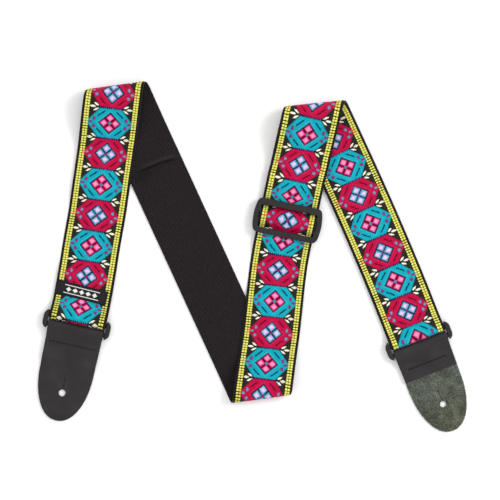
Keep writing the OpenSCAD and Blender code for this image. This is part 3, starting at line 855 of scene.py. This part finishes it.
LAY = ((RANGE["leg_1"][0], mid_s("fold_1"), 1, ((79.3, 306.5), (85.1, 276.4), (90.2, 246.2), (95.9, 215.1), (100.5, 184.5), (104.9, 153.8), (109.3, 122.9), (112.9, 93.8))),
       (mid_s("fold_2"), RANGE["leg_3_lower"][1], 0, ((262.9, 394.4), (267.6, 364.0), (271.9, 332.8), (275.7, 301.5), (280.0, 270.5), (284.0, 240.0))),
       (*RANGE["slider_hump"], 0, ((287.3, 222.9),)),
       (RANGE["leg_3_upper"][0], mid_s("fold_3"), 1, ((292.2, 196.8), (298.8, 165.5), (305.6, 134.7), (312.4, 103.3))),
       (mid_s("right_loop"), RANGE["return_leg_4"][1], 1, ((418.4, 339.2), (406.2, 311.2), (393.8, 282.0), (381.7, 253.1), (370.6, 223.7), (359.4, 195.1), (346.3, 167.0), (334.0, 139.4))))
apex = 0.5 * sum(RANGE["slider_hump"])
fixed = []
for first, last, odd, pts in LAY:
    sv = [s_at(px(*p), first, last) for p in pts]
    if fixed:
        k0 = fixed[-1][-1][1] + (sv[0] - fixed[-1][-1][0]) / MED
        k0 = 2 * round((k0 - odd) / 2) + odd
    else:
        k0 = odd
    fixed.append([(a, k0 + i) for i, a in enumerate(sv)])
# the medallion on the slider keeps its length; what doesn't fit is under the bars
fixed[1].append((fixed[1][-1][0] + 2.5, fixed[1][-1][1] + 2.5 / MED))
ks = fixed[1][-2][1] + 1
fixed[2] = [(apex - 13.2, ks - 13.2 / MED), (apex, ks), (apex + 13.0, ks + 13.0 / MED)]
lo_, hi_ = RANGE["leg_2"]
fixed[0].append((lo_, fixed[0][-1][1] + (lo_ - fixed[0][-1][0]) / MED))
fixed[1].insert(0, (hi_, fixed[1][0][1] - (fixed[1][0][0] - hi_) / MED))
lo_, hi_ = RANGE["leg_4"]
fixed[3].append((lo_, fixed[3][-1][1] + (lo_ - fixed[3][-1][0]) / MED))
fixed[4].insert(0, (hi_, fixed[4][0][1] - (fixed[4][0][0] - hi_) / MED))
KS = np.array([p for f_ in fixed for p in f_]).T
KS = np.c_[[KS[0, 0] - 500, KS[1, 0] - 500 / MED], KS, [KS[0, -1] + 500, KS[1, -1] + 500 / MED]]
assert (np.diff(KS[0]) > 0).all(), KS
loop = web_loop()
for nm in order:
    s0, s1 = RANGE[nm]
    back = nm == "leg_2"
    w = band("webbing_" + nm + "_woven", svals(s0, s1, 0.7 if back else 1.0 if "fold" in nm or "loop" in nm or "slider" in nm else 1.6), web_loop(71) if back else loop, MAT_WEB, back)
    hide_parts("webbing_" + nm)
    attach(w, nm)
    r = ribbon(nm, s0, s1)
    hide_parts("ribbon_" + nm)
    attach(r, nm)
    # edge stitching: a row each side that holds the ribbon to the webbing
    segs = []
    p0 = math.ceil(s0 / 3.2)
    for k in range(p0, int(math.floor((s1 - 2.4) / 3.2)) + 1):
        for u in (-22.95, 22.95):
            ss = np.linspace(k * 3.2 + 0.3, k * 3.2 + 2.7, 6)
            hh = WEB + 0.18 + 0.12 * np.sin(np.linspace(0.0, math.pi, 6))
            segs.append(F(np.full(6, u), ss, hh))
    if segs:
        st = capsules("edge_stitches_" + nm, segs, 0.22, MAT_THREAD)
        attach(st, nm)

for nm in order:
    s0, s1 = RANGE[nm]


# ------------------------------------------------------------------ label patch near the left ring
def at_left(x, y, z, rot=-1.7):
    """Local frame at the left ring's upper bar: x across, y up the band."""
    c_, s_ = cd(rot), sd(rot)
    x = x - 1.75
    X, Y = x * c_ - y * s_, x * s_ + y * c_ + 23.8
    return OL + SHIFT + dr(HL - 90) * X + dr(HL) * Y + Z * z


ZT = ML + GAP + T


def label():
    cs = 0.35
    w2, h2 = 22.55, 6.25
    xs = np.linspace(-w2, w2, int(2 * w2 / cs) + 1)
    ys = np.linspace(-h2, h2, int(2 * h2 / cs) + 1)
    xc, yc = 0.5 * (xs[1:] + xs[:-1]), 0.5 * (ys[1:] + ys[:-1])
    Y, X = np.meshgrid(yc, xc, indexing="ij")
    col = np.empty(X.shape + (3,))
    col[:] = (40, 38, 40)
    hg = np.zeros(X.shape)
    # generic motif: a row of plain pale diamonds between two fine lines
    xm = np.mod(X + 2.9, 5.8) - 2.9
    big = (np.abs(X) < 14.5) & (np.abs(xm) / 2.3 + np.abs(Y) / 2.0 < 1)
    col[big] = (236, 234, 230)
    hg[big] = 0.1
    ln = (np.abs(X) < 15.5) & (np.abs(np.abs(Y) - 3.4) < 0.3)
    col[ln] = (226, 224, 220)
    hg[ln] = 0.1
    r = np.random.default_rng(3)
    col = np.clip(col * (1 + 0.12 * (r.random(X.shape)[..., None] - 0.5)), 0, 255) / 255
    linc = np.where(col <= 0.04045, col / 12.92, ((col + 0.055) / 1.055) ** 2.4)
    pad = np.pad(hg, 1, mode="edge")
    hv = 0.25 * (pad[1:, 1:] + pad[:-1, 1:] + pad[1:, :-1] + pad[:-1, :-1])
    Y2, X2 = np.meshgrid(ys, xs, indexing="ij")
    # soft folded edges and a slight crown
    ex = np.minimum((w2 - np.abs(X2)) / 0.9, 1) * 1.0
    ey = np.minimum((h2 - np.abs(Y2)) / 0.9, 1)
    round_ = np.sqrt(np.clip(1 - (1 - np.minimum(ex, ey)) ** 2, 0, 1))
    base = ZT - 0.15
    H = base + 0.18 + 0.5 * round_ + hv + 0.05 * np.cos(X2 * 0.5) * round_
    n, m = X2.shape
    P = np.array([at_left(x, y, z) for x, y, z in zip(X2.ravel(), Y2.ravel(), H.ravel())])
    idx = np.arange(n * m).reshape(n, m)
    ring = np.concatenate([idx[0, :], idx[1:, -1], idx[-1, -2::-1], idx[-2:0:-1, 0]])
    low = np.array([at_left(X2.ravel()[i], Y2.ravel()[i], base - 0.1) for i in ring])
    q = np.stack([idx[:-1, :-1], idx[:-1, 1:], idx[1:, 1:], idx[1:, :-1]], -1).reshape(-1, 4)
    L = len(ring)
    sk = np.stack([ring, n * m + np.arange(L), n * m + (np.arange(L) + 1) % L, np.roll(ring, -1)], -1)
    uvs = np.vstack([np.stack([X2, Y2], -1).reshape(-1, 2), np.stack([X2.ravel()[ring], Y2.ravel()[ring]], -1)])
    cells = np.vstack([linc.reshape(-1, 3), np.tile(srgb(24, 23, 24), (L + n - 1, 1))])
    return make("label_patch_woven", np.vstack([P, low]), np.vstack([q, sk]), MAT_RIB, uvs, cell=cells, more=underside(n, m, n * m, True))


lab = label()
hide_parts("label_patch")
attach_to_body(lab, "root")
segs = []
for sgn in (-1, 1):
    for i in range(-8, 9):
        x = i * 2.55
        segs.append([at_left(x + d, sgn * 5.3, ZT + 0.52 + 0.22 * math.sin(math.pi * (d + 0.9) / 1.8)) for d in np.linspace(-0.9, 0.9, 6)])
for sgn in (-1, 1):
    for i in range(-1, 2):
        segs.append([at_left(sgn * 21.6, i * 3.0 + d, ZT + 0.52 + 0.22 * math.sin(math.pi * (d + 0.9) / 1.8)) for d in np.linspace(-0.9, 0.9, 6)])
ls = capsules("label_patch_stitches", segs, 0.2, MAT_THREAD)
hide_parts("label_stitches")
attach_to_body(ls, "root")

# return loop's stitches
segs = []
for i in range(-8, 9):
    for y in (21.0, 23.6):
        c = v3(SC) + SHIFT + dr(HS - 90) * i * 2.7 + dr(HS) * y + Z * 1.86
        segs.append([c + dr(HS - 90) * d for d in np.linspace(-0.9, 0.9, 5)])
rs = capsules("return_loop_stitches", segs, 0.18, MAT_THREAD)
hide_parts("return_stitches")
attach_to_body(rs, "slider")


# ------------------------------------------------------------------ moulded plastic and leather from the CAD shapes
def soften(node, name, voxel, iters, material, body):
    """A copy of a CAD solid with softened edges: voxel remeshed and relaxed, then taken as a plain mesh."""
    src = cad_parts[node]
    o = bpy.data.objects.new(name, src.data.copy())
    bpy.context.scene.collection.objects.link(o)
    o.data.materials.clear()
    o.data.materials.append(material)
    bm = bmesh.new()
    bm.from_mesh(o.data)
    bmesh.ops.remove_doubles(bm, verts=bm.verts, dist=1e-6)
    bm.to_mesh(o.data)
    bm.free()
    r = o.modifiers.new("r", "REMESH")
    r.mode = "VOXEL"
    r.voxel_size = voxel * MM
    s_ = o.modifiers.new("s", "SMOOTH")
    s_.factor = 0.5
    s_.iterations = iters
    dg = bpy.context.evaluated_depsgraph_get()
    me = bpy.data.meshes.new_from_object(o.evaluated_get(dg))
    o.modifiers.clear()
    o.data = me
    me.polygons.foreach_set("use_smooth", np.full(len(me.polygons), True))
    me.materials.clear()
    me.materials.append(material)
    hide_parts(node)
    return o


for node, body in (("slider", "slider"), ("ring_left", "ring_left"), ("ring_right", "ring_right")):
    o = soften(node, node + "_moulded", 0.32, 4, MAT_PLASTIC, body)
    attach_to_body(o, body)


def local_xy(P, O, h):
    """Plan position in the leather's frame: x along the tongue from the lower bar, y across."""
    d = -dr(h)
    rel = P / MM - SHIFT - (v3(O) - dr(h) * PITCH / 2)
    return rel @ d, rel @ np.cross(Z, d), rel[:, 2]


for side, O, h, suede_up in (("left", RL, HL, False), ("right", RR, HR, True)):
    node = "leather_" + side
    o = soften(node, node + "_cut", 0.30, 3, MAT_LEATHER, node)
    me = o.data
    me.materials.append(MAT_SUEDE)
    me.materials.append(MAT_EDGE)
    nv = len(me.vertices)
    co = np.empty(nv * 3, np.float32)
    me.vertices.foreach_get("co", co)
    co = co.reshape(-1, 3).astype(float)
    nf = len(me.polygons)
    ce = np.empty(nf * 3, np.float32)
    me.polygons.foreach_get("center", ce)
    no = np.empty(nf * 3, np.float32)
    me.polygons.foreach_get("normal", no)
    ce, no = ce.reshape(-1, 3).astype(float), no.reshape(-1, 3)
    x, y, z = local_xy(ce, O, h)
    midx = np.zeros(nf, np.int32)
    wall = np.abs(no[:, 2]) < 0.55
    tongue = x > TAIL + 0.2
    if suede_up:
        midx[(no[:, 2] > 0.55) & tongue] = 1
        midx[(no[:, 2] > 0.55) & (x > 2) & (z < 2.6)] = 1
        midx[wall & tongue] = 2
    else:
        midx[(no[:, 2] < -0.55) & tongue] = 1
        midx[(no[:, 2] < -0.55) & (x > 2) & (z > 1.6)] = 1
        midx[wall & tongue] = 2
    me.polygons.foreach_set("material_index", midx)
    # nap of the suede as real relief
    vn = np.empty(nv * 3, np.float32)
    me.vertices.foreach_get("normal", vn)
    vn = vn.reshape(-1, 3).astype(float)
    vx, vy, vz = local_xy(co, O, h)
    rg = np.random.default_rng(11)
    nap = rg.normal(0, 1, nv)
    amp = np.where((np.sign(vn[:, 2]) == (1 if suede_up else -1)) & (vx > TAIL + 0.6) & (np.abs(vn[:, 2]) > 0.6), 0.075, 0.0)
    wav = 0.12 * np.sin(vx * 0.21 + 0.6) * np.cos(vy * 0.13) * (vx > TAIL)
    co += vn * (nap * amp)[:, None] * MM
    d_, n_ = -dr(h), np.cross(Z, -dr(h))
    # the lips of the slit lean together and close it below
    hole = 85.6 - PITCH / 2 - 24.5 - (1.8 if suede_up else 0.0)
    top_ = np.clip((vz - 0.7) / 1.2, 0, 1)
    ay = np.abs(vy)
    near = (vx > hole - 15.2) & (vx < hole - 3.1) & (ay < 2.6)
    half = 0.03 + (0.05 if suede_up else 0.12) * top_
    ny = np.sign(vy) * (half + np.clip(ay - 0.30, 0, None) * (2.6 - half) / 2.3)
    co += n_ * np.where(near, ny - vy, 0.0)[:, None] * MM
    co[:, 2] += np.where(near & (vz > 1.4), 0.12 * np.exp(-((ay - 0.7) / 0.5) ** 2), 0.0) * MM
    if suede_up:
        rim = (np.abs(vn[:, 2]) < 0.8) & (vx > TAIL + 2) & ~near & (np.hypot(vx - hole, vy) > 4.2)
        fz = np.sin(vx * 5.1 + 1.7 * np.sin(vy * 3.3)) + np.sin(vy * 6.3 + 2.1 * np.sin(vx * 2.7)) + 0.8 * np.sin((vx - vy) * 9.7)
        co += vn * np.where(rim, 0.16 * fz, 0.0)[:, None] * MM * [1, 1, 0]
        bore = (np.abs(vn[:, 2]) < 0.8) & (np.hypot(vx - hole, vy) < 4.0)
        co += vn * np.where(bore, 0.22 + 0.12 * fz, 0.0)[:, None] * MM * [1, 1, 0]
    co[:, 2] = np.maximum(co[:, 2], 0.02 * MM)
    me.vertices.foreach_set("co", co.astype(np.float32).ravel())
    at_ = me.color_attributes.new("along", "FLOAT_COLOR", "POINT")
    tone = np.clip((vx - TAIL) / 46.0 + 0.14 * np.sin(vy * 0.22) + 0.05 * np.sin(vx * 0.7), 0, 1)
    at_.data.foreach_set("color", np.ascontiguousarray(np.c_[tone, tone, tone, np.ones(nv)], dtype=np.float32).ravel())
    me.update()
    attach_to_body(o, node)


# leather stitches: crossed pairs in a row over the width
def lat(O, h, x, y, z):
    d = -dr(h)
    return v3(O) - dr(h) * PITCH / 2 + SHIFT + d * x + np.cross(Z, d) * y + Z * z


def lt_z(x):
    return LEA + 0.15 + (ZB + RB - LEA - 0.15) * (1 - sm(x / 11.5)) - (LEA + 0.1) * sm((x - TAIL - 0.6) / 9)


for side, O, h, x0, py in (("left", RL, HL, 14.2, 2.75), ("right", RR, HR, 15.9, 2.4)):
    segs = []
    for i in range(-7, 8):
        y = i * py
        for sl_ in (-1, 1):
            pts = []
            for t in np.linspace(-1, 1, 9):
                x = x0 + 0.75 * t
                pts.append(lat(O, h, x, y + 0.85 * t * sl_, lt_z(x) + LEA + 0.0 + 0.13 * (1 - t * t) + 0.05 * sl_))
            segs.append(np.array(pts))
    o = capsules("leather_stitches_" + side + "_thread", segs, 0.27, MAT_THREAD, sides=8)
    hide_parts("leather_stitches_" + side)
    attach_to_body(o, "leather_" + side)

# ------------------------------------------------------------------ stage
fm = bpy.data.meshes.new("floor")
fm.from_pydata([(-9, -9, 0), (9, -9, 0), (9, 9, 0), (-9, 9, 0)], [], [(0, 1, 2, 3)])
floor = bpy.data.objects.new("floor", fm)
bpy.context.scene.collection.objects.link(floor)
mf, nt, b = mat("floor_pale", 0.9, 0.1)
b.inputs["Base Color"].default_value = (0.98, 0.98, 0.98, 1)
fm.materials.append(mf)

world = bpy.data.worlds.new("studio")
bpy.context.scene.world = world
world.use_nodes = True
bg = world.node_tree.nodes["Background"]
bg.inputs[0].default_value = (1, 1, 1, 1)
bg.inputs[1].default_value = 1.0


def area(name, loc, size, power, target=(0, 0, 0)):
    L = bpy.data.lights.new(name, "AREA")
    L.shape = "DISK"
    L.size = size
    L.energy = power
    o = bpy.data.objects.new(name, L)
    o.location = loc
    v = np.array(target, float) - np.array(loc, float)
    from mathutils import Vector
    o.rotation_euler = Vector(v).to_track_quat("-Z", "Y").to_euler()
    bpy.context.scene.collection.objects.link(o)
    return o


area("key", (1.15, 0.45, 1.2), 0.7, 10.5)

cam = bpy.data.cameras.new("camera")
cam.lens = 36 * 1.6 / 0.435
cam.sensor_width = 36
cam.clip_end = 50
co_ = bpy.data.objects.new("camera", cam)
co_.location = ((250 - 250.65) * 0.87 * MM + SHIFT[0] * MM, 5.22 * MM + SHIFT[1] * MM, 1.603)
co_.rotation_euler = (0, 0, 0)
bpy.context.scene.collection.objects.link(co_)
bpy.context.scene.camera = co_
bpy.context.scene.view_settings.view_transform = "Standard"
